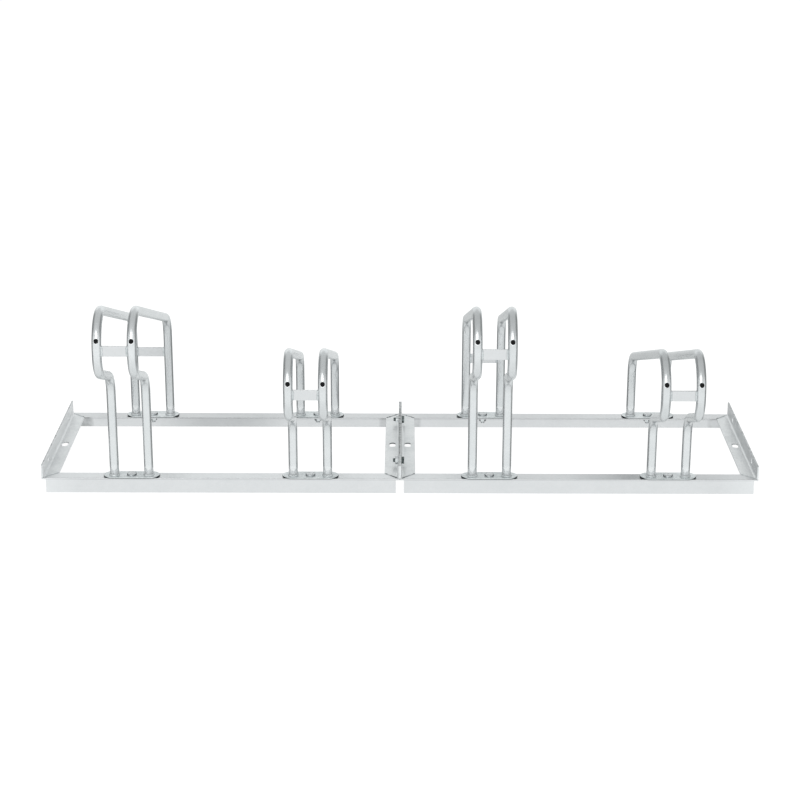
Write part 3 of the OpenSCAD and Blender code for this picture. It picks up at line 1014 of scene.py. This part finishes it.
def dress_solids(looks):
    """Gives every solid its finish, and the flat steel its softened edges."""
    for node in nodes:
        if node.endswith("rail"):
            dress(node, looks["rail"])
            soften(node, STEEL_EDGE, 60, segments=1, measure="ABSOLUTE")
        elif node.endswith("angle"):
            dress(node, looks["angle"])
            soften(node, STEEL_EDGE, 84, segments=3)
        elif node.endswith("plate"):
            dress(node, looks["plate"])
            soften(node, STEEL_EDGE, 60)
        elif node.endswith("bar"):
            dress(node, looks["rail"])
            soften(node, BAR_EDGE, 60)
        elif node.endswith("hoop"):
            dress(node, looks["tube"])
        elif node == "nose_plugs":
            dress(node, looks["plug"])
        else:
            dress(node, looks["bolt"])
            if node == "foot_washers":
                soften(node, WASHER_EDGE, 60)


# Pieces that the solids leave out

def add_holder(number, holder, looks):
    """Bent tubes and weld beads of one wheel holder; returns the skins of its two plugs."""
    x, drop, front_bar, rear_bar = HOLDERS[holder]
    for side, word in ((-1, "left"), (1, "right")):
        make_piece(f"{holder}_{word}_bent_tube", hoop_skin(x, side, drop), looks["tube"],
                   replaces=(f"{holder}_{word}_hoop",))
    for place, y, shift in (("front", LEG_INSET, 0), ("rear", REAR_Y, 5)):
        aside = REAR_SPACING / 2 - math.tan(LEAN) * (REAR_Y - y)
        rings = [ring_weld((x + side * aside, y - Y_MID, PLATE_TOP), 1.3 * number + side + shift)
                 for side in (-1, 1)]
        make_piece(f"{holder}_{place}_foot_welds", join_skins(rings), looks["bead"])
    make_piece(f"{holder}_front_bar_welds", bar_welds(x, drop, front_bar, -NOSE_REACH, 2.0 * number),
               looks["bead"])
    if rear_bar:
        make_piece(f"{holder}_rear_bar_welds", bar_welds(x, drop, rear_bar, REAR_Y, 2.0 * number + 1),
                   looks["bead"])
    return [plug_skin(x, side, drop) for side in (-1, 1)]


def add_frame_welds(looks):
    """Mitre beads at the four corners of each frame."""
    for number, (word, x0, x1) in enumerate((("left", -UNIT, 0.0), ("right", 0.0, UNIT))):
        corners = [mitre_welds(x, y - Y_MID, way_x, way_y, 3.0 * number + x + y)
                   for x, way_x in ((x0, 1), (x1, -1)) for y, way_y in ((0.0, 1), (DEPTH, -1))]
        make_piece(f"{word}_frame_mitre_welds", join_skins(corners), looks["mitre"])


def add_foot_bolts(looks):
    """Round-headed bolts through the plates, and their nuts, each turned by another angle."""
    nut_top = FLANGE - STEEL - WASHER_STEEL
    feet = [(x, y - Y_MID) for x, _, _, _ in HOLDERS.values() for y in (LEG_INSET, REAR_Y)]
    bolts, nuts = [], []
    for number, (x, y) in enumerate(feet):
        turn = (math.cos(0.4 * number), math.sin(0.4 * number), 0)
        bolts += place_skins([round_head(), threaded_shank(FOOT_GRIP)], (x, y, PLATE_TOP),
                             (0, 0, 1), turn)
        nuts += place_skins([nut_skin()], (x, y, nut_top), (0, 0, 1), turn)
    make_piece("foot_plate_bolts", join_skins(bolts), looks["foot_bolt"],
               replaces=("foot_bolts",))
    make_piece("foot_plate_nuts", join_skins(nuts), looks["foot_bolt"],
               replaces=("foot_nuts",))


def add_joining_bolts(looks):
    """Hexagon bolts through the two inner angles, and their nuts."""
    bolts, nuts = [], []
    for side in (-1, 1):
        y = DEPTH / 2 + side * JOIN_SPACING / 2 - Y_MID
        bolts += place_skins([hexagon_head(), threaded_shank(JOIN_GRIP)], (STEEL, y, JOIN_HEIGHT),
                             (1, 0, 0), (0, 0.3 * side, 1))
        nuts += place_skins([nut_skin()], (-STEEL, y, JOIN_HEIGHT), (1, 0, 0), (0, -0.2 * side, 1))
    make_piece("frame_joining_bolts", join_skins(bolts), looks["shaded_bolt"],
               replaces=("joining_bolts",))
    make_piece("frame_joining_nuts", join_skins(nuts), looks["bolt"],
               replaces=("joining_nuts",))


def build_rack():
    """Dresses the solids and adds the pieces that they leave out."""
    looks = finishes()
    dress_solids(looks)
    plugs = []
    for number, holder in enumerate(HOLDERS):
        plugs += add_holder(number, holder, looks)
    make_piece("nose_hole_plugs", join_skins(plugs), looks["plug"],
               replaces=("nose_plugs",))
    add_frame_welds(looks)
    add_foot_bolts(looks)
    add_joining_bolts(looks)


# Light, floor and background

def world_light():
    """White to the eye; a softer studio dome lights the steel, and gives its reflections.

    Its level follows the height of the direction seen, with darker flanks to the left and right, a
    lift behind the rack and a faint uneven patch low behind its left part.
    """
    world = bpy.data.worlds.new("studio")
    bpy.context.scene.world = world
    world.use_nodes = True
    world.node_tree.nodes.clear()
    w = Wires(world.node_tree)
    seen = w.node("ShaderNodeLightPath").outputs["Is Camera Ray"]
    way = w.node("ShaderNodeTexCoord").outputs["Generated"]
    x, y, z = w.node("ShaderNodeSeparateXYZ", {0: way}).outputs
    high = w.ramp(total(w, product(w, z, 0.5), 0.5),
                  [(0.0, 0.90), (0.36, 1.06), (0.5, 1.0), (0.68, 0.90), (0.80, 0.62), (1.0, 0.64)])
    flank = product(w, above(w, size_of(w, x), 0.38, 4.0), above(w, y, -0.25, 4.0),
                    below(w, size_of(w, z), 0.70, 4.0), 0.70)
    behind = product(w, above(w, y, 0.35, 1.6), above(w, z, -0.15, 3.0), 0.24)
    uneven = product(w, below(w, x, 0.12, 4.0), below(w, z, 0.05, 5.0), above(w, y, 0.3, 4.0), 0.20)
    level = product(w, w.math("SUBTRACT", 1.0, flank), total(w, behind, 0.93),
                    w.math("SUBTRACT", 1.06, uneven))
    dome = w.mix(1.0, high, level, "MULTIPLY")
    tint = w.mix(1.0, dome, (0.97, 1.0, 1.0, 1), "MULTIPLY")
    colour = w.mix(seen, tint, (1, 1, 1, 1))
    back = w.node("ShaderNodeBackground", {"Color": colour, "Strength": 1.0})
    w.node("ShaderNodeOutputWorld", {0: back.outputs[0]})


def soft_lamp(name, place, target, size, power):
    """A rectangular soft box at a place, turned to a target."""
    data = bpy.data.lights.new(name, "AREA")
    data.shape = "RECTANGLE"
    data.size, data.size_y = size
    data.energy = power
    lamp = bpy.data.objects.new(name, data)
    bpy.context.scene.collection.objects.link(lamp)
    back = np.asarray(place, float) - np.asarray(target, float)
    back /= np.linalg.norm(back)
    right = np.cross((0, 0, 1.0), back)
    right /= np.linalg.norm(right)
    up = np.cross(back, right)
    lamp.matrix_world = Matrix.Translation(place) @ Matrix((right, up, back)).transposed().to_4x4()
    return lamp


def pale_floor():
    """A wide pale floor that stays white to the camera and still takes the shadow of the rack."""
    half, glow_strength, glow_share = 14.0, 1.16, 0.8
    mesh = bpy.data.meshes.new("floor")
    mesh.from_pydata([(-half, -half, 0), (half, -half, 0), (half, half, 0), (-half, half, 0)],
                     [], [(0, 1, 2, 3)])
    floor = bpy.data.objects.new("floor", mesh)
    bpy.context.scene.collection.objects.link(floor)
    floor.visible_glossy = False
    made, w = new_material("pale_floor")
    seen = w.node("ShaderNodeLightPath").outputs["Is Camera Ray"]
    matt = w.node("ShaderNodeBsdfDiffuse", {"Color": (0.9, 0.9, 0.9, 1)})
    glow = w.node("ShaderNodeEmission", {"Color": (1, 1, 1, 1), "Strength": glow_strength})
    both = w.node("ShaderNodeMixShader", {0: product(w, seen, glow_share), 1: matt.outputs[0],
                                          2: glow.outputs[0]})
    w.node("ShaderNodeOutputMaterial", {0: both.outputs[0]})
    mesh.materials.append(made)


place_camera()
world_light()
pale_floor()
build_rack()
soft_lamp("front_box", place=(-0.6, -3.2, 2.6), target=(0, 0, 0.1), size=(3.0, 1.6), power=24.0)
top_box = soft_lamp("top_box", place=(0.0, 0.4, 3.4), target=(0, 0, 0), size=(4.0, 2.0), power=45.0)
top_box.visible_glossy = False

scene = bpy.context.scene
scene.view_settings.view_transform = "Standard"
bpy.context.view_layer.update()
